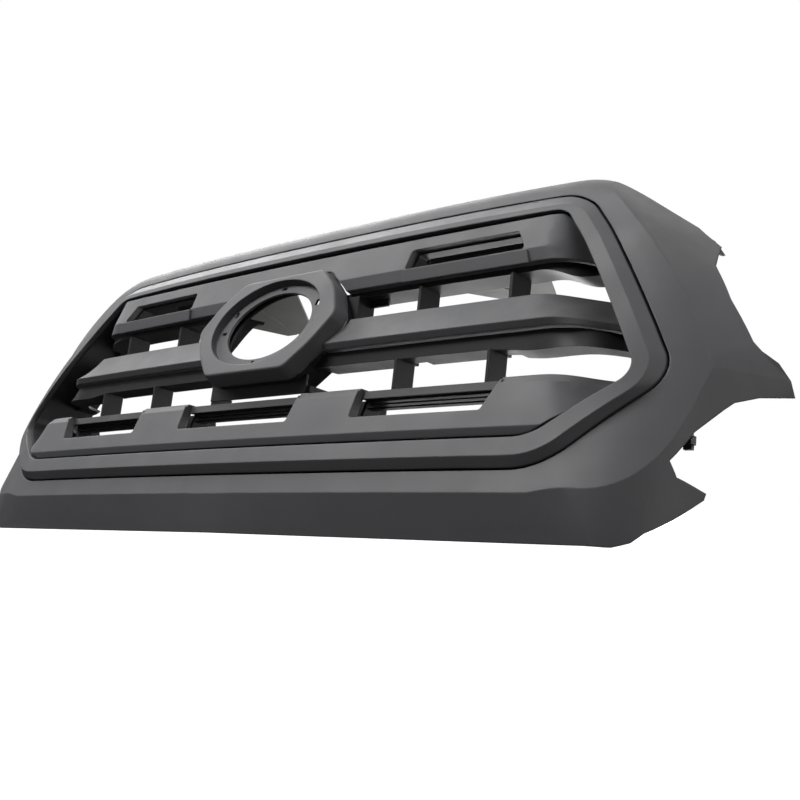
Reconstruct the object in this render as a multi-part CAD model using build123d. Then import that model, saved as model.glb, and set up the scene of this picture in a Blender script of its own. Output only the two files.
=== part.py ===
from build123d import *
import math
import os

# Front grille of a pickup truck, with an open emblem seat.
# X runs across the truck, Y runs to the rear, Z is up.
# Every shape is drawn with its blades upright and is then reclined as a whole.
# The origin is the middle of the emblem recess rim.

os.makedirs("parts", exist_ok=True)

# Overall attitude
recline = 9.5            # degrees that the drawn grille is tipped back
face_lean = 0.33         # run to the rear for each millimetre of height
wall = 3.0               # moulded wall

# Bow of the face in plan
bow_centre = 13.0        # face set behind the emblem rim
bow_rise = 6.5           # drop-back at bow_span
bow_span = 340.0
wrap_start = 440.0       # outer ring and surround sweep back from here
wrap_rate = 0.003
bar_turn = 30.0          # the bars turn back over this run near their ends
bar_slope = 1.15         # and then keep this slope
top_sag = 1.8            # the top line hangs down by this much at sag_span
sag_span = 300.0
side_bulge = 4.4         # the slanting sides bow out by this much

# Ring outlines: top corner, widest corner, lower corner, each (x, z, radius)
gap_corners = [(395.0, 118.0, 60.0), (524.0, -98.0, 36.0), (427.0, -191.0, 85.0)]
crest_corners = [(392.0, 101.0, 46.0), (513.0, -101.0, 34.0), (424.0, -178.5, 70.0)]
inner_corners = [(379.0, 94.0, 27.0), (496.0, -99.0, 20.0), (412.0, -161.0, 55.0)]
ring_gap = 2.5           # shadow gap round the ring
bevel_drop = 9.0         # outer bevel sinks this far
inner_depth = 30.0       # inner wall of the ring
outer_depth = 22.8       # outer wall of the ring

# Surround
shell_set = 10.0         # surround face behind the ring crest
lip_z = -255.0
lip_undercut = 5.0
front_y = -47.0          # lower wall in plan
front_rise = 0.031
side_x = 545.0           # side wall passes here
side_y = 42.0
side_slope = 2.35
side_radius = 100.0
upper_slope = 2.2        # upper side wall, run back for each millimetre out
side_edge_radius = 20.0  # soft edge between the face and the upper side wall
roll_start = 121.0       # top roll begins here
roll_radius = 34.0
top_rear = 168.0
drop_start, drop_end = 370.0, 430.0
drop_rate = 170.0

# Bars: heights of top, crease and chamfer foot
upper_top, upper_crease, upper_foot = 86.0, 48.0, 34.0
mid_top, mid_crease, mid_foot = -5.0, -37.0, -44.0
lower_top, lower_brow, lower_crease, lower_foot = -98.0, -106.0, -150.0, -160.0
bar_depth = 27.0
bar_wall = 2.8

# Emblem seat
seat_lean = 19.0
recess_a, recess_b, recess_depth = 89.0, 60.5, 9.0
hole_a, hole_b = 69.3, 47.6
seat_depth = 22.0
seat_flare_out = 4.5
collar_depth = 52.0      # the collar's side walls reach this far behind the rim

# Carrier
carrier_rear = 86.0      # rear edge of the frame, behind the face
blade_thick = 3.6
blade_xs = (208.5, 326.5)
blade_depth = 29.0

# Screws
screw_shank_r, screw_length, screw_head_r, screw_head = 2.0, 18.0, 4.75, 2.6
boss_r = 4.6
pad_front, pad_rear = 23.2, 31.5      # flat pads on the surround's seat flange
boss_front, boss_rear = 8.5, 22.8


def bow(x):
    """Plan bow of the ring and surround."""
    x = abs(x)
    return bow_centre + bow_rise * (x / bow_span) ** 2 + wrap_rate * max(0.0, x - wrap_start) ** 2


def plain_curve(x, z):
    """Plan curve of pieces that do not turn back."""
    return bow(x)


def turned(start, level, lean):
    """Plan curve of a bar that turns back near its ends, further out the lower the point is."""
    def curve(x, z):
        begin = start + lean * max(0.0, level - z)
        past = max(0.0, abs(x) - begin)
        ramp = min(past, bar_turn)
        flat = bow_centre + bow_rise * (min(abs(x), begin) / bow_span) ** 2
        return flat + bar_slope * ramp ** 2 / (2 * bar_turn) + bar_slope * (past - ramp)
    return curve


upper_curve = turned(360.0, 48.0, 0.40)
middle_curve = turned(362.0, -5.0, 0.85)
lower_curve = turned(404.0, -98.0, 0.45)


def face_y(x, z, off=0.0):
    """Depth of the ring face at a point seen from the front."""
    return face_lean * z + bow(x) + off


def bar_y(x, z, off=0.0):
    """Depth of the middle bar's face at a point seen from the front."""
    return face_lean * z + middle_curve(x, z) + off


def sag(x):
    """How far the top line hangs below its height at the middle."""
    return top_sag * (min(abs(x), 390.0) / sag_span) ** 4


# ---------- outlines ----------

def shifted_corners(corners, d):
    """Corners of the half hexagon after every side moves outward by d."""
    (tx, tz, tr), (wx, wz, wr), (bx, bz, br) = corners
    sides = [((0.0, tz), (tx, tz)), ((tx, tz), (wx, wz)), ((wx, wz), (bx, bz)), ((bx, bz), (0.0, bz))]
    moved = []
    for (x0, z0), (x1, z1) in sides:
        length = math.hypot(x1 - x0, z1 - z0)
        nx = -(z1 - z0) / length
        nz = (x1 - x0) / length
        moved.append(((x0 + nx * d, z0 + nz * d), (x1 - x0, z1 - z0)))
    result = []
    for (p, u), (q, v), r in zip(moved[:-1], moved[1:], (tr, wr, br)):
        cross = u[0] * v[1] - u[1] * v[0]
        t = ((q[0] - p[0]) * v[1] - (q[1] - p[1]) * v[0]) / cross
        result.append((p[0] + u[0] * t, p[1] + u[1] * t, max(4.0, r + d)))
    return result


def half_loop(corners, per_line=(9, 7, 5, 9), per_arc=(7, 8, 7)):
    """Points of the right half of a rounded hexagon, from the top centre to the bottom centre."""
    pts = [(0.0, corners[0][1])]
    ends = [(0.0, corners[0][1])] + [(c[0], c[1]) for c in corners] + [(0.0, corners[2][1])]
    last = ends[0]
    for i, (cx, cz, r) in enumerate(corners):
        ax, az = ends[i]
        bx, bz = ends[i + 2]
        ua = ((ax - cx), (az - cz))
        ub = ((bx - cx), (bz - cz))
        la, lb = math.hypot(*ua), math.hypot(*ub)
        ua, ub = (ua[0] / la, ua[1] / la), (ub[0] / lb, ub[1] / lb)
        half = math.acos(max(-1.0, min(1.0, ua[0] * ub[0] + ua[1] * ub[1]))) / 2
        cut = r / math.tan(half)
        start = (cx + ua[0] * cut, cz + ua[1] * cut)
        centre_dir = (ua[0] + ub[0], ua[1] + ub[1])
        norm = math.hypot(*centre_dir)
        centre = (cx + centre_dir[0] / norm * r / math.sin(half), cz + centre_dir[1] / norm * r / math.sin(half))
        swell = side_bulge if i == 1 else 0.0
        for k in range(1, per_line[i] + 1):
            t = k / per_line[i]
            out = swell * 4 * t * (1 - t)
            pts.append((last[0] + (start[0] - last[0]) * t + out, last[1] + (start[1] - last[1]) * t))
        a0 = math.atan2(start[1] - centre[1], start[0] - centre[0])
        sweep_angle = math.pi - 2 * half
        for k in range(1, per_arc[i] + 1):
            a = a0 - sweep_angle * k / per_arc[i]
            pts.append((centre[0] + r * math.cos(a), centre[1] + r * math.sin(a)))
        last = pts[-1]
    for k in range(1, per_line[3] + 1):
        t = k / per_line[3]
        pts.append((last[0] * (1 - t), last[1] + (ends[4][1] - last[1]) * t))
    return [(x, z - sag(x) * max(0.0, min(1.0, (z - 60.0) / 50.0))) for x, z in pts]


def front_face(points):
    """A flat face seen from the front, from (x, z) points."""
    return Face(Wire.make_polygon([Vector(x, 0, z) for x, z in points], close=True))


def prism_y(points, y0, y1):
    """A straight block with the given front outline."""
    return Pos(0, y0, 0) * Solid.extrude(front_face(points), Vector(0, y1 - y0, 0))


def hexagon(corners, d=0.0):
    """Front outline of a whole rounded hexagon."""
    half = half_loop(shifted_corners(corners, d))
    return half + [(-x, z) for x, z in reversed(half[1:-1])]


def hex_block(corners, d, y0=-200.0, y1=400.0):
    return prism_y(hexagon(corners, d), y0, y1)


# ---------- swept sections ----------

def stations(half_width, count=56):
    """Evenly spaced places of the sections across the truck."""
    return [half_width * (2 * i / count - 1) for i in range(count + 1)]


def across(section, xs, curve):
    """Sweep a (y, z) section across the truck along a plan curve."""
    wires = []
    for x in xs:
        pts = [Vector(x, y + curve(x, z), z) for y, z in section(x)]
        wires.append(Wire.make_polygon(pts, close=True))
    return Solid.make_loft(wires)


def around(loops):
    """Loft a section round the ring; loops are (points, depth offset) in section order."""
    halves = [[(x, face_y(x, z, off), z) for x, z in pts] for pts, off in loops]
    wires = []
    for i in range(len(halves[0])):
        wires.append(Wire.make_polygon([Vector(*h[i]) for h in halves], close=True))
    right = Solid.make_loft(wires)
    return right + right.mirror(Plane.YZ)


def channel(outline, t=bar_wall):
    """Close an open (y, z) outline into a wall of thickness t on its rear side."""
    inner = []
    n = len(outline)
    dirs = []
    for i in range(n - 1):
        dy = outline[i + 1][0] - outline[i][0]
        dz = outline[i + 1][1] - outline[i][1]
        length = math.hypot(dy, dz)
        dirs.append((-dz / length, dy / length))
    for i in range(n):
        if i == 0:
            ny, nz = dirs[0]
            k = 1.0
        elif i == n - 1:
            ny, nz = dirs[-1]
            k = 1.0
        else:
            ny = dirs[i - 1][0] + dirs[i][0]
            nz = dirs[i - 1][1] + dirs[i][1]
            length = math.hypot(ny, nz)
            ny, nz = ny / length, nz / length
            k = 1.0 / (ny * dirs[i][0] + nz * dirs[i][1])
        inner.append((outline[i][0] + ny * t * k, outline[i][1] + nz * t * k))
    return outline + inner[::-1]


# ---------- surround ----------

def body_section(x, o):
    """Section of the surround's outer volume, moved inward by o."""
    ramp = max(0.0, min(abs(x), drop_end) - drop_start)
    drop = sag(x) + ramp ** 2 / drop_rate + max(0.0, abs(x) - drop_end) * 2 * ramp / drop_rate
    z0 = roll_start - drop
    tilt = math.atan(1.0 / face_lean)
    lean_shift = o / math.sin(tilt)
    y0 = face_lean * z0 + shell_set
    cy = y0 + roll_radius * math.sin(tilt)
    cz = z0 - roll_radius * math.cos(tilt)
    wall_y = front_y + front_rise * abs(x) - bow(x) + o
    pts = []
    crease_z = (wall_y - shell_set - lean_shift) / face_lean
    pts.append((300.0, lip_z - o * 10))
    pts.append((wall_y + lip_undercut, lip_z - o * 10))
    pts.append((wall_y, crease_z))
    steps = 7
    for k in range(steps + 1):
        a = tilt * (1 - k / steps)
        r = roll_radius - o
        pts.append((cy - r * math.sin(a), cz + r * math.cos(a)))
    pts.append((300.0, cz + roll_radius - o))
    return pts


def side_plan(o):
    """Plan of the surround: front wall, rounded corner and side wall, moved inward by o."""
    ang = math.atan(side_slope)
    sx = side_x - o / math.sin(ang)
    fy = front_y - 60.0
    corner_x = (front_y + o - side_y + side_slope * sx) / (side_slope - front_rise)
    corner_y = front_y + o + front_rise * corner_x
    turn = ang - math.atan(front_rise)
    r = side_radius - o
    cut = r * math.tan(turn / 2)
    ux, uy = 1 / math.hypot(1, front_rise), front_rise / math.hypot(1, front_rise)
    ax, ay = corner_x - ux * cut, corner_y - uy * cut
    cx, cy = ax - uy * r, ay + ux * r
    arc = []
    for k in range(0, 15):
        a = math.atan2(ay - cy, ax - cx) + turn * k / 14
        arc.append((cx + r * math.cos(a), cy + r * math.sin(a)))
    far_y = 260.0
    far = (sx + (far_y - side_y) / side_slope, far_y)
    return [(0.0, fy), (ax, fy)] + arc + [far, (0.0, far_y)]


def side_block(o):
    """Everything inside both vertical side walls."""
    pts = side_plan(o)
    whole = pts + [(-x, y) for x, y in reversed(pts[1:-1])]
    face = Face(Wire.make_polygon([Vector(x, y, -330) for x, y in whole], close=True))
    return Solid.extrude(face, Vector(0, 0, 560))


def upper_side_block(o, sign, angle):
    """Everything inside the upper side wall, or inside one step of its soft edge, at a plan angle."""
    slope = math.tan(math.radians(angle))
    lead = math.degrees(math.atan(upper_slope)) - 5.0
    cut = math.tan(math.radians(lead / 2)) - math.tan(math.radians((angle - 5.0) / 2))
    shift = o * 1.14 / math.sin(math.radians(angle)) + max(0.0, side_edge_radius - o) * cut
    profile = []
    for x, z in ((527.0, -93.0), (479.0, 3.0), (379.0, 119.0)):
        face = face_y(x, z, shell_set)
        profile.append((x - shift + face * (1 / upper_slope - 1 / slope), z))
    foot, mid, top = profile
    edge = ThreePointArc((foot[0], 0, foot[1]), (mid[0], 0, mid[1]), (top[0], 0, top[1]))
    over = edge % 1
    far = (top[0] + over.X * 90, top[1] + over.Z * 90)
    if slope > upper_slope - 0.01:
        below = [(foot[0] + 40, -330.0), (foot[0] + 40, foot[1] - 90), foot]
    else:
        below = [(900.0, -330.0), (900.0, foot[1] - 60), (foot[0] + 110, foot[1] - 45), foot]
    rest = [top, far, (-900.0, far[1]), (-900.0, -330.0)] + below
    wire = Wire([edge] + [Line((a[0], 0, a[1]), (b[0], 0, b[1])) for a, b in zip(rest[:-1], rest[1:])])
    block = Solid.extrude(Face(wire), Vector(550 / slope, 550, 0))
    block = Pos(-150 / slope, -150, 0) * block
    return block if sign > 0 else block.mirror(Plane.YZ)


def surround_volume(o):
    """Outer volume of the surround, moved inward by o."""
    body = across(lambda x: body_section(x, o), stations(640.0, 40), plain_curve)
    body = body & side_block(o)
    for angle in (math.degrees(math.atan(upper_slope)), 50.0, 35.0, 20.0):
        body = body & upper_side_block(o, 1, angle)
        body = body & upper_side_block(o, -1, angle)
    return body


def rear_trim():
    """Block behind the rear edge of each side, seen from the side: hood tab, lamp notch, wing, lower tab."""
    edge = [(top_rear, 400.0), (top_rear, 152.0), (161.0, 134.0), (147.0, 112.0), (137.0, 92.0),
            (138.0, 76.0), (143.0, 62.0), (126.0, 46.0), (111.0, 30.0), (101.0, -9.0), (101.0, -52.0),
            (106.0, -60.0), (119.0, -68.0), (131.0, -80.0), (137.0, -94.0), (93.0, -107.0), (67.0, -117.0),
            (56.0, -126.0), (29.0, -150.0), (9.0, -178.0), (15.0, -191.0), (43.0, -200.0), (41.0, -206.0),
            (-5.0, -241.0), (-12.0, -250.0), (-22.0, -256.0), (-22.0, -400.0),
            (500.0, -400.0), (500.0, 400.0)]
    blocks = []
    for x0, x1 in ((430.0, 700.0), (-700.0, -430.0)):
        face = Face(Wire.make_polygon([Vector(x0, y, z) for y, z in edge], close=True))
        blocks.append(Solid.extrude(face, Vector(x1 - x0, 0, 0)))
    return blocks


def screw_points():
    """Fourteen screw places round the ring, seen from the front, as (x, z)."""
    upper = [(70.0, 108.0), (200.0, 108.0), (330.0, 108.0)]
    lower = [(464.0, -146.0), (300.0, -182.0), (100.0, -182.0)]
    right = upper + [(448.0, 14.0)] + lower
    return right + [(-x, z) for x, z in right]


def seat_flange():
    """Flange behind the ring that takes the ring screws, with the short wall round the opening."""
    slab_front = 23.4
    sleeve = around([
        (half_loop(shifted_corners(gap_corners, 0)), shell_set + 0.6),
        (half_loop(shifted_corners(gap_corners, 3)), shell_set + 1.2),
        (half_loop(shifted_corners(gap_corners, 3)), slab_front + 3),
        (half_loop(shifted_corners(gap_corners, -17)), slab_front + 3),
        (half_loop(shifted_corners(gap_corners, -17)), slab_front),
        (half_loop(shifted_corners(gap_corners, 0)), slab_front),
    ])
    for x, z in screw_points():
        y = face_y(x, z)
        pad = pad_rear - pad_front
        sleeve += Pos(x, y + pad_front + pad / 2, z) * Rot(X=90) * Cylinder(6.5, pad)
        sleeve -= Pos(x, y + slab_front, z) * Rot(X=90) * Cylinder(2.3, 30)
    return sleeve


def surround_shell():
    shell = surround_volume(0.0) - surround_volume(wall)
    shell = shell - hex_block(gap_corners, 0)
    shell -= Pos(0, top_rear + 200, 0) * Box(1400, 400, 900)
    for block in rear_trim():
        shell -= block
    for x, z in ((150.0, 142.7), (340.0, 139.8)):
        shell += hood_tab(x, z) + hood_tab(-x, z)
    return shell + seat_flange()


# ---------- ring ----------

def ring():
    outer = shifted_corners(gap_corners, -ring_gap)
    outer_in = shifted_corners(gap_corners, -ring_gap - wall)
    inner_out = shifted_corners(inner_corners, wall)
    body = around([
        (half_loop(inner_corners), inner_depth),
        (half_loop(inner_corners), 0.0),
        (half_loop(crest_corners), 0.0),
        (half_loop(outer), bevel_drop),
        (half_loop(outer), outer_depth),
        (half_loop(outer_in), outer_depth),
        (half_loop(outer_in), bevel_drop + 2.5),
        (half_loop(crest_corners), 3.6),
        (half_loop(inner_out), 3.0),
        (half_loop(inner_out), inner_depth),
    ])
    for x, z in screw_points():
        y = face_y(x, z)
        middle = (boss_front + boss_rear) / 2
        body += Pos(x, y + middle, z) * Rot(X=90) * Cylinder(boss_r, boss_rear - boss_front)
        body -= Pos(x, y + boss_rear - 5, z) * Rot(X=90) * Cylinder(screw_shank_r, 11)
    return body


# ---------- bars ----------

def slot_outline(x0t, x0b, x1t, x1b, zt, zb):
    return [(x0b, zb), (x0t, zt), (x1t, zt), (x1b, zb)]


upper_slots = [slot_outline(188.0, 186.0, 328.0, 343.0, 72.0, 47.0)]
upper_slots.append([(-x, z) for x, z in upper_slots[0]])
lower_slots = [slot_outline(186.0, 186.0, 360.0, 350.0, -108.0, -132.0),
               slot_outline(-97.0, -94.0, 97.0, 94.0, -108.0, -132.0)]
lower_slots.append([(-x, z) for x, z in lower_slots[0]])


def rounded(points, r, d=0.0):
    """Front face of a slot, grown by d, with rounded corners."""
    face = front_face(points)
    wire = face.outer_wire()
    face = Face(wire)
    if d:
        face = Face(wire.offset_2d(d, kind=Kind.INTERSECTION))
    return face.fillet_2d(r, face.vertices())


def slot_block(points, r, d, y0, y1):
    return Pos(0, y0, 0) * Solid.extrude(rounded(points, r, d), Vector(0, y1 - y0, 0))


def upper_bar():
    outline = [
        (face_lean * upper_top + 26.0, upper_top),
        (face_lean * upper_top, upper_top),
        (face_lean * upper_crease, upper_crease),
        (face_lean * upper_foot + 6.0, upper_foot),
        (face_lean * upper_foot + 6.0 + bar_depth, upper_foot - 1.0),
    ]
    body = across(lambda x: channel(outline), stations(440.0), upper_curve)
    liner = bar_slab(0.5, 11.0, 80.0, 38.0)
    for slot in upper_slots:
        body += liner & slot_block(slot, 4.0, 2.4, -50, 200)
    for slot in upper_slots:
        body -= slot_block(slot, 4.0, 0, -50, 200)
    for sign in (1, -1):
        body += proud_strip(sign)
    body = body & hex_block(inner_corners, -3.2)
    return body - seat_block(5.5, -30.0, 70.0)


def bar_slab(front, rear, z1, z0):
    """A band of material that follows the bars, between two depths and two heights."""
    section = [(face_lean * z1 + front, z1), (face_lean * z0 + front, z0),
               (face_lean * z0 + rear, z0), (face_lean * z1 + rear, z1)]
    return across(lambda x: section, stations(380.0, 38), plain_curve)


def proud_strip(sign):
    """Slightly raised strip under an upper slot."""
    strip = [
        (face_lean * 46.5 - 2.2, 46.5),
        (face_lean * 34.0 + 3.2, 32.0),
        (face_lean * 34.0 + 7.5, 32.0),
        (face_lean * 46.5 + 1.5, 46.5),
    ]
    body = across(lambda x: strip, stations(380.0, 38), upper_curve)
    return body & prism_y([(sign * 186.0, 20.0), (sign * 186.0, 60.0), (sign * 343.0, 60.0), (sign * 352.0, 20.0)],
                          -60, 200)


def middle_bar(sign):
    outline = [
        (face_lean * mid_top + 10.0 + 20.0, mid_top),
        (face_lean * mid_top + 10.0, mid_top),
        (face_lean * mid_crease, mid_crease),
        (face_lean * mid_foot + 6.0, mid_foot),
        (face_lean * mid_foot + 6.0 + bar_depth, mid_foot - 1.0),
    ]
    body = across(lambda x: channel(outline), stations(476.0), middle_curve)
    body = body & hex_block(inner_corners, -3.2)
    body = body - seat_block(5.5, -30.0, 70.0)
    return body & one_side(sign)


def lower_bar():
    outline = [
        (face_lean * lower_top + 22.0, lower_top),
        (face_lean * lower_top + 4.0, lower_top),
        (face_lean * lower_brow, lower_brow),
        (face_lean * lower_crease, lower_crease),
        (face_lean * lower_foot + 6.0, lower_foot),
        (face_lean * lower_foot + 6.0 + 16.0, lower_foot),
    ]
    body = across(lambda x: channel(outline), stations(490.0), lower_curve)
    liner = bar_slab(0.5, 12.0, -101.0, -140.0)
    for slot in lower_slots:
        body += liner & slot_block(open_top(slot), 4.0, 2.4, -80, 200)
        body -= slot_block(open_top(slot), 4.0, 0, -80, 200)
    return body & hex_block(inner_corners, -3.2)


# ---------- emblem seat ----------

seat_plane = Plane(origin=(0, 0, 0), x_dir=(1, 0, 0),
                   z_dir=(0, -math.cos(math.radians(seat_lean)), math.sin(math.radians(seat_lean))))


def seat_face(d=0.0):
    """Six-sided outline of the emblem seat in its own plane."""
    top, upper, wide, lower, low = (67, 66.5), (98.5, 37), (118, -2), (96.5, -38.5), (67, -71)
    right = [top, upper, wide, lower, low]
    points = right + [(-x, z) for x, z in reversed(right)]
    face = Face(Wire.make_polygon([Vector(x, z, 0) for x, z in points], close=True))
    soft = [v for v in face.vertices() if 90 < abs(v.X) < 110]
    face = face.fillet_2d(70.0, soft)
    hard = [v for v in face.vertices() if 60 < abs(v.X) < 70 or abs(v.X) > 117]
    face = face.fillet_2d(16.0, hard)
    if d:
        face = Face(face.outer_wire().offset_2d(d))
    return face


def seat_block(d, z0, z1):
    """Emblem-seat outline grown by d, between two depths behind the rim."""
    sk = seat_plane * Pos(0, 0, -z0) * seat_face(d)
    return extrude(sk, amount=z1 - z0, dir=seat_plane.z_dir * -1)


def seat_flare(d0, d1, z0, z1):
    """Emblem-seat block that grows from d0 to d1 toward the rear."""
    front = seat_plane * Pos(0, 0, -z0) * seat_face(d0)
    rear = seat_plane * Pos(0, 0, -z1) * seat_face(d1)
    return Solid.make_loft([front.outer_wire(), rear.outer_wire()], ruled=True)


def ellipse_block(a, b, z0, z1):
    sk = seat_plane * Pos(0, 0, -z0) * Ellipse(a, b)
    return extrude(sk, amount=z1 - z0, dir=seat_plane.z_dir * -1)


def emblem_seat():
    body = seat_flare(0.01, seat_flare_out, 0.0, seat_depth)
    front = body.faces().sort_by(Axis.Y)[0]
    body = fillet(front.edges(), 3.0)
    body -= seat_flare(-wall, seat_flare_out - wall, wall, seat_depth + 0.01)
    body += ellipse_block(recess_a + wall, recess_b + wall, 1.0, recess_depth + wall)
    body -= ellipse_block(recess_a, recess_b, -1.0, recess_depth)
    body -= ellipse_block(hole_a, hole_b, -1.0, 40.0)
    mid_a, mid_b = (recess_a + hole_a) / 2, (recess_b + hole_b) / 2
    for deg, w, h in ((90, 8, 4), (27, 6, 8), (-3, 8, 4.5), (183, 8, 4.5), (153, 6, 8), (270, 5, 8)):
        a = math.radians(deg)
        spot = seat_plane * Pos(mid_a * math.cos(a), mid_b * math.sin(a), -recess_depth)
        body -= spot * Box(w, h, 12)
    for x, z in seat_screws:
        body += seat_plane * Pos(x, z, -12.0) * Cylinder(boss_r, 20)
        body -= seat_plane * Pos(x, z, -15.0) * Cylinder(screw_shank_r, 18)
    return body


seat_screws = [(78.0, 42.0), (-78.0, 42.0), (78.0, -45.0), (-78.0, -45.0)]


def collar_wall(z0, z1):
    """Wall that follows the emblem seat's outline, between two depths behind the rim."""
    return seat_block(1.0, z0, z1) - seat_block(-2.5, z0 - 1, z1 + 1)


def collar_ear(sign):
    """Web beside the collar that ties it to the upper rail, with a rib under the rail."""
    ear = Pos(sign * 117.75, 47.0, 11.8) * Box(3.5, 26.0, 30.0)
    ear += Pos(sign * 109.75, 35.5, 11.8) * Box(19.5, wall, 30.0)
    return ear + Pos(sign * 132.0, 54.0, 22.3) * Box(30.0, wall, 9.0)


def seat_collar():
    """Black collar that carries the emblem seat: plate, walls, ears between the bars, apron below."""
    body = seat_block(1.0, seat_depth + 0.4, seat_depth + 3.4) - ellipse_block(hole_a + 10, hole_b + 9, 0, 80)
    body += collar_wall(seat_depth + 2.0, 32.0)
    body += collar_wall(seat_depth + 2.0, collar_depth) & Pos(0, 60, -40.0) * Box(400, 200, 132)
    body += collar_ear(1) + collar_ear(-1)
    body += Pos(0, 5.5, -80.25) * Box(164, wall, 21.5)
    for x, z in seat_screws:
        body -= seat_plane * Pos(x, z, -26.0) * Cylinder(2.3, 20)
    return body


# ---------- carrier lattice ----------

def rail_section(z_top, z_low, front, depth):
    """Angle rail: front web and a shelf that runs to the rear."""
    return [
        (face_lean * z_top + front, z_top),
        (face_lean * z_top + front, z_low),
        (face_lean * z_top + front + depth, z_low),
        (face_lean * z_top + front + depth, z_low + 3.0),
        (face_lean * z_top + front + 3.0, z_low + 3.0),
        (face_lean * z_top + front + 3.0, z_top),
    ]


def one_side(sign):
    """Everything on one side of the middle."""
    return Pos(sign * 400, 0, 0) * Box(800, 600, 600)


def step(x, x0, x1, height):
    """Smooth step of the given height between two distances from the middle."""
    return height * max(0.0, min(1.0, (abs(x) - x0) / (x1 - x0)))


def middle_rail(sign):
    body = across(lambda x: rail_section(-45.4, -61.0 - step(x, 332, 362, 4.0), 13.0, 30.0),
                  stations(490.0, 40), middle_curve)
    body = body & hex_block(inner_corners, -3.2) & one_side(sign)
    for x in blade_xs:
        body -= Pos(sign * (x + blade_thick / 2 + 11), bar_y(x, -61) + 46, -61) * Box(20, 16, 12)
    return body - seat_block(1.3, -30, 110)


def upper_rail(sign):
    body = across(lambda x: rail_section(33.0, 27.0 - step(x, 362, 390, 8.0), 15.0, 34.0),
                  stations(440.0, 44), upper_curve)
    body = body & hex_block(inner_corners, -3.2) & one_side(sign)
    return body - seat_block(1.3, -30, 110)


def lower_rail():
    section = rail_section(-99.0, -140.0, 48.0, 16.0)
    body = across(lambda x: section, stations(490.0), lower_curve)
    for slot in lower_slots:
        body -= slot_block(slot, 4.0, 4.0, -80, 300)
    return body & hex_block(inner_corners, -3.2)


def blade(x, z0, z1, y0, depth):
    return Pos(x, y0 + depth / 2, (z0 + z1) / 2) * Box(blade_thick, depth, z1 - z0)


def upper_blades():
    solids = []
    for sign in (1, -1):
        for x in blade_xs:
            solids.append(blade(sign * x, -4.8, 26.8, bar_y(x, 12) + 16.0, 32.0))
    return solids


def lower_blades():
    solids = []
    for sign in (1, -1):
        for x in blade_xs:
            solids.append(blade(sign * x, -98.8, -61.2, bar_y(x, -73) + 18.0, blade_depth))
        solids.append(blade(sign * 84.0, -98.8, -82.0, 8.0, 29.0))
    return solids


def carrier_frame():
    """Black frame behind the ring that the rails and bars run into, with a lining inside the ring."""
    inside = half_loop(shifted_corners(inner_corners, -3.0))
    lining = half_loop(shifted_corners(inner_corners, -0.5))
    outside = half_loop(shifted_corners(inner_corners, 3.0))
    return around([
        (inside, 8.0),
        (lining, 8.0),
        (lining, inner_depth + 1.0),
        (outside, inner_depth + 1.0),
        (outside, carrier_rear),
        (inside, carrier_rear),
    ])


def slot_frame(slot, front, rear, louvres=()):
    """Black insert behind one slot."""
    z1, z0 = slot[1][1], slot[0][1]
    slab = bar_slab(front, rear, z1 + 8, z0 - 8)
    body = slab & (slot_block(slot, 4.0, 2.4, -90, 200) - slot_block(slot, 3.0, -1.6, -95, 205))
    for z in louvres:
        strip = bar_slab(front + 4, front + 13, z + 0.9, z - 0.9)
        body += strip & slot_block(slot, 3.0, -1.0, -90, 200)
    return body


def open_top(slot):
    """Outline of a lower slot carried up through the top of the bar."""
    (x0b, zb), (x0t, zt), (x1t, _), (x1b, _) = slot
    shrink, grow = ((t - b) * 12.0 / (zt - zb) for t, b in ((x0t, x0b), (x1t, x1b)))
    return [(x0b, zb), (x0t + shrink, zt + 12), (x1t + grow, zt + 12), (x1b, zb)]


def lower_slot_frame(slot):
    """Insert behind a lower slot; its top rail closes the open top of the slot."""
    rail = bar_slab(9.0, 20.0, -100.0, -109.0) & slot_block(open_top(slot), 4.0, -0.3, -90, 200)
    return slot_frame(slot, 18.5, 40.0, (-112.0, -116.5)) + rail


# ---------- rear pieces ----------

def shelf(sign, outline):
    """Rear closing shelf behind the upper bar; a lip at its front meets the carrier frame."""
    face = Face(Wire.make_polygon([Vector(sign * x, y, 79.0) for x, y in outline], close=True))
    plate = Solid.extrude(face, Vector(0, 0, 3.0))
    x0, x1 = outline[0][0], outline[-1][0]
    lip = Pos(sign * (x0 + x1) / 2, 100.5, 83.8) * Box(abs(x1 - x0), 3.0, 9.6)
    return plate + lip


inner_shelf = [(65.0, 99.0), (184.0, 250.0), (215.0, 250.0), (160.0, 99.0)]
outer_shelf = [(163.0, 99.0), (218.0, 250.0), (238.0, 250.0), (312.0, 99.0)]


def hood_tab(x, z):
    """Bolt tab at the rear of the surround's top."""
    tab = Pos(x, top_rear + 8, z) * Box(46, 36, 3)
    tab = fillet(tab.edges().filter_by(Axis.Z).sort_by(Axis.Y)[2:], 9.0)
    return tab - Pos(x, top_rear + 14, z) * Cylinder(4.5, 10)


def side_bracket(sign, inner, core):
    """Black stiffener inside the hood-side tab."""
    region = Pos(sign * 500, 141, 78) * Box(160, 34, 50)
    return (inner - core) & region


def side_clip(sign, inner):
    """Black snap clip under the wing of the surround."""
    plate = Pos(sign * 510, 46, -148) * Box(34, 12, 3)
    hook = Pos(sign * 519, 56, -150.5) * Box(12, 10, 8)
    barb = Pos(sign * 519, 59, -156) * Box(8, 5, 5)
    return (plate + hook + barb) & inner


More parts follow.
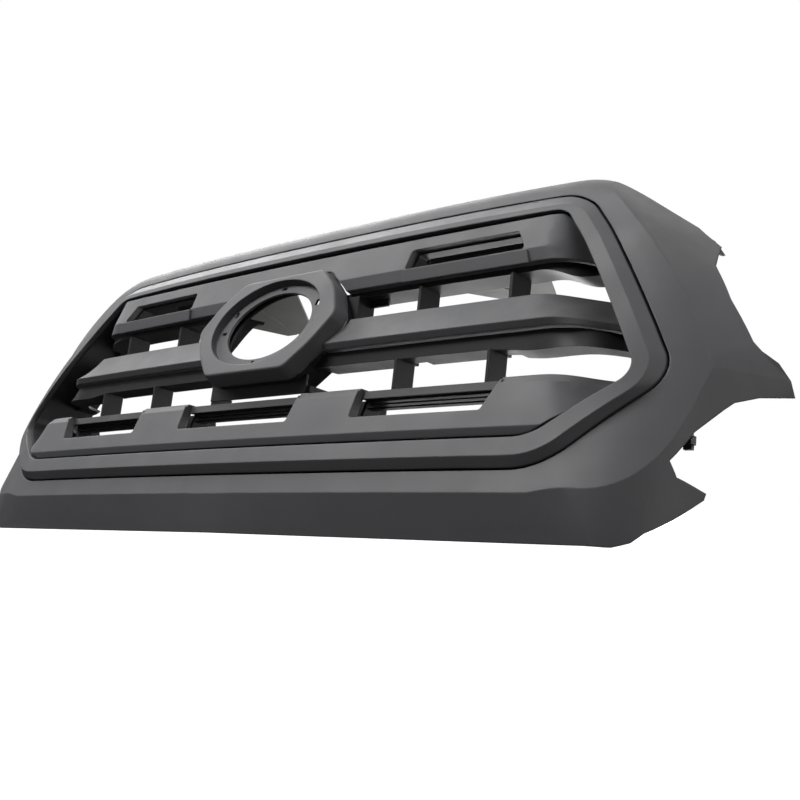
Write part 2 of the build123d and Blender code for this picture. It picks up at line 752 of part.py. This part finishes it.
def screw(x, y, z, tilt=0.0):
    """Pan-head tapping screw whose seat is at the point, pointing forward."""
    head = Pos(0, 0, screw_head / 2) * Cylinder(screw_head_r, screw_head)
    head = fillet(head.edges().sort_by(Axis.Z)[-1], 1.6)
    for turn in (0, 90):
        head -= Pos(0, 0, screw_head) * Rot(Z=turn) * Box(5.0, 1.1, 2.4)
    shank = Pos(0, 0, -screw_length / 2 + 1.5) * Cylinder(screw_shank_r, screw_length - 3)
    point = Pos(0, 0, -screw_length + 1.5) * Cone(0.3, screw_shank_r, 3.0)
    whole = head + shank + point
    return Pos(x, y, z) * Rot(X=-90 - tilt) * whole


def screws():
    group = [screw(x, face_y(x, z, pad_rear), z) for x, z in screw_points()]
    for x, v in seat_screws:
        spot = seat_plane.from_local_coords(Vector(x, v, -seat_depth - 3.4))
        group.append(screw(spot.X, spot.Y, spot.Z, -seat_lean))
    return group


pieces = {}


def add(name, shape):
    pieces[name] = shape


add("surround_shell", surround_shell())
add("surround_ring", ring())
add("upper_bar", upper_bar())
add("middle_bar_right", middle_bar(1))
add("middle_bar_left", middle_bar(-1))
add("lower_bar", lower_bar())
add("emblem_seat", emblem_seat())
add("seat_collar", seat_collar())
for tag, sign in (("right", 1), ("left", -1)):
    add("upper_rail_" + tag, upper_rail(sign))
    add("middle_rail_" + tag, middle_rail(sign))
add("lower_rail", lower_rail())
add("upper_blades", Compound(upper_blades()))
add("lower_blades", Compound(lower_blades()))
add("carrier_frame", carrier_frame())
for tag, slot in zip(("right", "left"), upper_slots):
    add("upper_slot_frame_" + tag, slot_frame(slot, 11.4, 26.0))
for tag, slot in zip(("right", "centre", "left"), lower_slots):
    add("lower_slot_frame_" + tag, lower_slot_frame(slot))
for tag, sign in (("right", 1), ("left", -1)):
    add("inner_shelf_" + tag, shelf(sign, inner_shelf))
    add("outer_shelf_" + tag, shelf(sign, outer_shelf))
inner_volume = surround_volume(wall + 0.3)
core_volume = surround_volume(wall + 3.3)
for tag, sign in (("right", 1), ("left", -1)):
    add("side_bracket_" + tag, side_bracket(sign, inner_volume, core_volume))
    add("side_clip_" + tag, side_clip(sign, inner_volume))
add("screws", Compound(screws()))

stance = Rot(X=-recline)
for name, shape in pieces.items():
    export_step(stance * shape, "parts/" + name + ".step")
    print(name, round(shape.volume), shape.is_valid, len(shape.solids()))
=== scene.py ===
import math

import bmesh
import bpy
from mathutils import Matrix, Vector


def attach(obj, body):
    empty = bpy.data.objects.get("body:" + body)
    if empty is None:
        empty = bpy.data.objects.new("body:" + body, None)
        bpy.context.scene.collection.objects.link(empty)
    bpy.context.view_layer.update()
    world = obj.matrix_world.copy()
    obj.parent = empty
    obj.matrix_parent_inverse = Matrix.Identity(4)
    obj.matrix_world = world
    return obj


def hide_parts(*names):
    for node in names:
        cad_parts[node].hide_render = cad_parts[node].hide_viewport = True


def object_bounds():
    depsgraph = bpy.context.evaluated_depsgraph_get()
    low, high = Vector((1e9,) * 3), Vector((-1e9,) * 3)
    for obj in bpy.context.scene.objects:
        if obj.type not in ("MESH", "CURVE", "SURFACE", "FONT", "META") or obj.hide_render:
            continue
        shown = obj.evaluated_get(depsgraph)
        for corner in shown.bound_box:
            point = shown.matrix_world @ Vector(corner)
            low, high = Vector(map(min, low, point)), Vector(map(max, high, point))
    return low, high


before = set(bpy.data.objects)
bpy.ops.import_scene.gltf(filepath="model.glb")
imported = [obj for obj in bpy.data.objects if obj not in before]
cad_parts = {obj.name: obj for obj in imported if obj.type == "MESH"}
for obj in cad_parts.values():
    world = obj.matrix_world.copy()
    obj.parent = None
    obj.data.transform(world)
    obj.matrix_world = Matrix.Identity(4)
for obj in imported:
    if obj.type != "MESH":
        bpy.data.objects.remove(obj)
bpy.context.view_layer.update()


# ---------- materials ----------

def new_material(name):
    """Empty node material with one principled shader."""
    mat = bpy.data.materials.new(name)
    mat.use_nodes = True
    nodes, links = mat.node_tree.nodes, mat.node_tree.links
    nodes.clear()
    out = nodes.new("ShaderNodeOutputMaterial")
    shader = nodes.new("ShaderNodeBsdfPrincipled")
    links.new(shader.outputs[0], out.inputs[0])
    return mat, nodes, links, shader


def noise(nodes, links, coord, scale, detail):
    """Noise of a scale and detail, as a factor."""
    node = nodes.new("ShaderNodeTexNoise")
    node.inputs["Scale"].default_value = scale
    node.inputs["Detail"].default_value = detail
    node.inputs["Roughness"].default_value = 0.5
    links.new(coord, node.inputs["Vector"])
    return node.outputs["Fac"]


def ramp(nodes, links, fac, stops):
    """Colour ramp over a factor."""
    node = nodes.new("ShaderNodeValToRGB")
    links.new(fac, node.inputs["Fac"])
    while len(node.color_ramp.elements) < len(stops):
        node.color_ramp.elements.new(0.5)
    for element, (at, colour) in zip(node.color_ramp.elements, stops):
        element.position = at
        element.color = (*colour, 1.0)
    return node.outputs["Color"]


def scaled(nodes, links, coord, factors):
    """Object coordinates stretched by three factors."""
    node = nodes.new("ShaderNodeMapping")
    node.inputs["Scale"].default_value = factors
    links.new(coord, node.inputs["Vector"])
    return node.outputs[0]


def math_node(nodes, links, operation, a, b):
    """A math node whose inputs are sockets or numbers."""
    node = nodes.new("ShaderNodeMath")
    node.operation = operation
    for value, socket in zip((a, b), node.inputs):
        if isinstance(value, float):
            socket.default_value = value
        else:
            links.new(value, socket)
    return node.outputs[0]


def span(nodes, links, fac, low, high, start=0.3, end=0.7):
    """Factor from start to end, mapped to low to high."""
    node = nodes.new("ShaderNodeMapRange")
    node.inputs["From Min"].default_value = start
    node.inputs["From Max"].default_value = end
    node.inputs["To Min"].default_value = low
    node.inputs["To Max"].default_value = high
    links.new(fac, node.inputs["Value"])
    return node.outputs[0]


def mixed(nodes, links, fac, first, second):
    """First colour, a socket, blended with a second colour."""
    node = nodes.new("ShaderNodeMix")
    node.data_type = "RGBA"
    links.new(fac, node.inputs["Factor"])
    links.new(first, node.inputs[6])
    node.inputs[7].default_value = (*second, 1.0)
    return node.outputs[2]


def edge_mask(nodes, links, radius):
    """White on outer and inner edges: where the rounded normal leaves the true one."""
    soft = nodes.new("ShaderNodeBevel")
    soft.samples = 4
    soft.inputs["Radius"].default_value = radius
    true = nodes.new("ShaderNodeNewGeometry")
    dot = nodes.new("ShaderNodeVectorMath")
    dot.operation = "DOT_PRODUCT"
    links.new(soft.outputs[0], dot.inputs[0])
    links.new(true.outputs["Normal"], dot.inputs[1])
    return soft.outputs[0], span(nodes, links, dot.outputs["Value"], 1.0, 0.0, 0.90, 0.995)


# Warm pale grey for dust, also used to paint the surfaces that face up lighter: painted top light.
DUST_AND_TOP_LIGHT = (0.30, 0.29, 0.27)
GRAIN_DEPTH = 0.0002


def plastic_colour(nodes, links, coord, dark, light):
    """Slow drift, fine specks and long flow marks between two shades."""
    drift = noise(nodes, links, coord, 5.0, 4.0)
    speck = noise(nodes, links, coord, 1100.0, 2.0)
    flow = noise(nodes, links, scaled(nodes, links, coord, (3.0, 26.0, 40.0)), 1.0, 3.0)
    tone = math_node(nodes, links, "ADD", math_node(nodes, links, "MULTIPLY", drift, 0.45),
                     math_node(nodes, links, "MULTIPLY", speck, 0.35))
    tone = math_node(nodes, links, "ADD", tone, math_node(nodes, links, "MULTIPLY", flow, 0.20))
    return ramp(nodes, links, tone, [(0.35, dark), (0.65, light)])


def rubbed(nodes, links, coord, colour, edges, light):
    """Edges worn to a paler shade, in patches."""
    rub = math_node(nodes, links, "MULTIPLY", edges,
                    span(nodes, links, noise(nodes, links, coord, 60.0, 4.0), 0.0, 0.45, 0.4, 0.62))
    worn = tuple(min(1.0, 2.1 * c + 0.012) for c in light)
    return mixed(nodes, links, rub, colour, worn)


def dust_and_top_light(nodes, links, coord, colour):
    """A thin, uneven film of dust on the surfaces that face up, which also paints them paler as painted
    top light.
    """
    up = nodes.new("ShaderNodeSeparateXYZ")
    links.new(nodes.new("ShaderNodeNewGeometry").outputs["Normal"], up.inputs[0])
    # Paler where the normal faces up, in uneven patches: dust and painted top light.
    dust_and_top_light_mask = math_node(nodes, links, "MULTIPLY", span(nodes, links, up.outputs["Z"], 0.0, 0.10, 0.55, 1.0),
                     span(nodes, links, noise(nodes, links, coord, 45.0, 5.0), 0.2, 1.0, 0.4, 0.6))
    return mixed(nodes, links, dust_and_top_light_mask, colour, DUST_AND_TOP_LIGHT)


def grained(nodes, links, coord, rounded, strength):
    """Normal of a spark-eroded grain over rounded edges."""
    pits = noise(nodes, links, coord, 1500.0, 2.0)
    bump = nodes.new("ShaderNodeBump")
    bump.inputs["Strength"].default_value = strength
    bump.inputs["Distance"].default_value = GRAIN_DEPTH
    links.new(pits, bump.inputs["Height"])
    links.new(rounded, bump.inputs["Normal"])
    return bump.outputs[0]


def moulded(name, dark, light, rough, grain, sheen, radius):
    """Moulded plastic with its grain, colour drift, dust and painted top light on the surfaces that face
    up, and rubbed edges.
    """
    mat, nodes, links, shader = new_material(name)
    coord = nodes.new("ShaderNodeTexCoord").outputs["Object"]
    rounded, edges = edge_mask(nodes, links, radius)
    colour = plastic_colour(nodes, links, coord, dark, light)
    colour = rubbed(nodes, links, coord, colour, edges, light)
    # Surfaces that face up are painted paler: dust and painted top light.
    colour = dust_and_top_light(nodes, links, coord, colour)
    links.new(colour, shader.inputs["Base Color"])
    haze = noise(nodes, links, coord, 18.0, 4.0)
    links.new(span(nodes, links, haze, rough - 0.04, rough + 0.05), shader.inputs["Roughness"])
    links.new(grained(nodes, links, coord, rounded, grain), shader.inputs["Normal"])
    shader.inputs["Specular IOR Level"].default_value = sheen
    return mat


charcoal = moulded("charcoal_plastic_look", dark=(0.038, 0.038, 0.041), light=(0.050, 0.050, 0.054),
                   rough=0.59, grain=0.35, sheen=0.5, radius=0.0020)
black = moulded("black_plastic_look", dark=(0.008, 0.008, 0.009), light=(0.014, 0.014, 0.015),
                rough=0.52, grain=0.30, sheen=0.25, radius=0.0008)
olive = moulded("shelf_plastic_look", dark=(0.075, 0.075, 0.066), light=(0.100, 0.100, 0.088),
                rough=0.60, grain=0.30, sheen=0.35, radius=0.0008)
steel = moulded("black_steel_look", dark=(0.020, 0.020, 0.021), light=(0.035, 0.035, 0.037),
                rough=0.35, grain=0.10, sheen=0.60, radius=0.0003)

# ---------- pieces ----------

# The grille is drawn with its blades upright and then reclined: upright places are in millimetres.
RECLINE = math.radians(9.5)
FACE_LEAN, FACE_SET = 0.33, 10.0        # the surround's face plane: run per height, and set-back
BOW_CENTRE, BOW_RISE, BOW_SPAN = 13.0, 6.5, 340.0
WRAP_START, WRAP_RATE = 440.0, 0.003    # the ends sweep back from here
WALL_FRONT, WALL_RISE = -47.0, 0.031    # the lower wall in plan
WALL_SKIN = 9.5                         # takes in the wall and its undercut, behind the wall's front
CREASE_Z = -212.0                       # height of the straight crease above the lower wall
CREASE_BAND = 2.5
CORNER_START, CORNER_END = 425.0, 462.0
LIP_Z = -255.0
WING_X, WING_Z = 540.0, -68.0           # the wing tips lie outside and below this
WING_ROOT, WING_END = 100.0, 117.0      # depths between which a tip is drawn out
WING_LOW = -95.0
TIP_REACH, TIP_LIFT = 28.0, 4.5
WELD = 2e-6                             # metres
CREASE_ANGLE = math.radians(17.5)


def upright(co):
    """Upright place, in millimetres, of a point of the reclined grille."""
    y = co.y * math.cos(RECLINE) - co.z * math.sin(RECLINE)
    z = co.y * math.sin(RECLINE) + co.z * math.cos(RECLINE)
    return Vector((co.x, y, z)) * 1000.0


def reclined(place):
    """Point of the reclined grille at an upright place in millimetres."""
    y = place.y * math.cos(RECLINE) + place.z * math.sin(RECLINE)
    z = place.z * math.cos(RECLINE) - place.y * math.sin(RECLINE)
    return Vector((place.x, y, z)) * 0.001


def ease(value, start, end):
    """Share of the way from start to end, kept between 0 and 1."""
    return min(1.0, max(0.0, (value - start) / (end - start)))


def straighten(mesh):
    """Pull the crease above the lower wall straight, and draw the swept wing tips out to a point."""
    for vert in mesh.verts:
        place = upright(vert.co)
        side = abs(place.x)
        bow = BOW_CENTRE + BOW_RISE * (side / BOW_SPAN) ** 2
        bow += WRAP_RATE * max(0.0, side - WRAP_START) ** 2
        wall_y = WALL_FRONT + WALL_RISE * side
        crease = (wall_y - bow - FACE_SET) / FACE_LEAN
        if place.z < crease + CREASE_BAND and -1.0 < place.y - wall_y < WALL_SKIN:
            drop = (CREASE_Z - crease) * (1.0 - ease(side, CORNER_START, CORNER_END))
            drop *= ease(place.z, LIP_Z, crease)
            place.z += drop
            place.y += FACE_LEAN * drop
        if place.y > WING_ROOT and place.z < WING_Z and side > WING_X:
            reach = ease(place.y, WING_ROOT, WING_END) * ease(-place.z, -WING_Z, -WING_LOW)
            place.y += TIP_REACH * reach
            place.z += TIP_LIFT * reach
        vert.co = reclined(place)


def refined(name, look):
    """A welded, smooth-shaded copy of a CAD piece with its creases kept, which stands for it."""
    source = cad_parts[name]
    mesh = bpy.data.meshes.new(name + "_moulded")
    bm = bmesh.new()
    bm.from_mesh(source.data)
    bmesh.ops.remove_doubles(bm, verts=bm.verts, dist=WELD)
    if name == "surround_shell":
        straighten(bm)
    for edge in bm.edges:
        edge.smooth = len(edge.link_faces) == 2 and edge.calc_face_angle(0.0) < CREASE_ANGLE
    for face in bm.faces:
        face.smooth = True
    bm.to_mesh(mesh)
    bm.free()
    mesh.materials.append(look)
    piece = bpy.data.objects.new(name + "_moulded", mesh)
    bpy.context.scene.collection.objects.link(piece)
    normals = piece.modifiers.new("normals", "WEIGHTED_NORMAL")
    normals.keep_sharp = True
    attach(piece, "root")
    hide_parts(name)
    return piece


charcoal_nodes = ("surround_shell", "surround_ring", "upper_bar", "middle_bar_right", "middle_bar_left",
                  "lower_bar", "emblem_seat")
for name in charcoal_nodes:
    refined(name, charcoal)

for name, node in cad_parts.items():
    if name in charcoal_nodes:
        continue
    look = black
    if "shelf" in name:
        look = olive
    if name == "screws":
        look = steel
    node.data.materials.clear()
    node.data.materials.append(look)


# ---------- stage, lights, camera ----------

FLOOR_SIZE = 40.0
FLOOR_GAP = 0.0005
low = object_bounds()[0][2]
floor_mat, nodes, links, shader = new_material("floor_look")
shader.inputs["Base Color"].default_value = (0.55, 0.55, 0.55, 1.0)
shader.inputs["Roughness"].default_value = 0.80
shader.inputs["Emission Color"].default_value = (1.0, 1.0, 1.0, 1.0)
shader.inputs["Emission Strength"].default_value = 1.0

bpy.ops.mesh.primitive_plane_add(size=FLOOR_SIZE, location=(0, 0, low - FLOOR_GAP))
floor = bpy.context.object
floor.name = "floor"
floor.data.materials.append(floor_mat)
floor.visible_diffuse = False
floor.visible_glossy = False
floor.visible_shadow = False

world = bpy.data.worlds.new("studio")
bpy.context.scene.world = world
world.use_nodes = True
world.node_tree.nodes["Background"].inputs["Color"].default_value = (1.0, 1.0, 1.0, 1.0)
world.node_tree.nodes["Background"].inputs["Strength"].default_value = 1.0
world.cycles_visibility.diffuse = False
world.cycles_visibility.glossy = False
bpy.context.scene.view_settings.view_transform = "Standard"


def area_light(name, at, size, power):
    """Soft box that faces the middle of the grille and stays out of sight."""
    data = bpy.data.lights.new(name, "AREA")
    data.shape = "RECTANGLE"
    data.size, data.size_y = size
    data.energy = power
    light = bpy.data.objects.new(name, data)
    light.location = at
    light.visible_camera = False
    light.rotation_euler = (-Vector(at)).to_track_quat("-Z", "Y").to_euler()
    bpy.context.scene.collection.objects.link(light)


# place, width and depth, power
soft_boxes = {
    "top": ((0.0, 0.0, 2.3), (3.0, 2.2), 31.0),
    "top_back": ((0.0, 1.8, 1.9), (3.0, 1.4), 21.0),
    "top_left": ((-2.3, 0.2, 1.5), (2.2, 1.6), 38.0),
    "top_right": ((2.3, 0.5, 1.5), (2.2, 1.6), 14.0),
    "key": ((-0.7, -1.35, 2.0), (1.2, 0.8), 74.0),
    "roll_left": ((-1.8, 1.2, 1.7), (1.5, 1.0), 38.0),
    "mid_right": ((0.9, -0.6, 2.2), (1.0, 0.8), 6.0),
    "right_low": ((3.0, -0.2, 0.3), (2.4, 1.4), 29.0),
    "left_low": ((-2.6, -1.8, 0.4), (2.4, 1.4), 6.0),
    "below": ((0.3, -0.8, -1.2), (3.0, 2.0), 7.5),
    "behind": ((0.0, 0.9, -0.25), (1.6, 0.4), 14.0),
    "right_back": ((2.2, 1.8, 0.5), (1.6, 1.2), 3.0),
}
for light_name, (place, box_size, watts) in soft_boxes.items():
    area_light(light_name, place, box_size, watts)

camera_data = bpy.data.cameras.new("camera")
camera_data.lens = 48.9
camera_data.sensor_width = 36.0
camera_data.clip_end = 100.0
camera = bpy.data.objects.new("camera", camera_data)
bpy.context.scene.collection.objects.link(camera)
azimuth, elevation = math.radians(41.288), math.radians(-5.339)
camera.location = (0.954, -0.84334, -0.2107)
camera.rotation_euler = (math.radians(90) - elevation, 0.0, azimuth)
bpy.context.scene.camera = camera
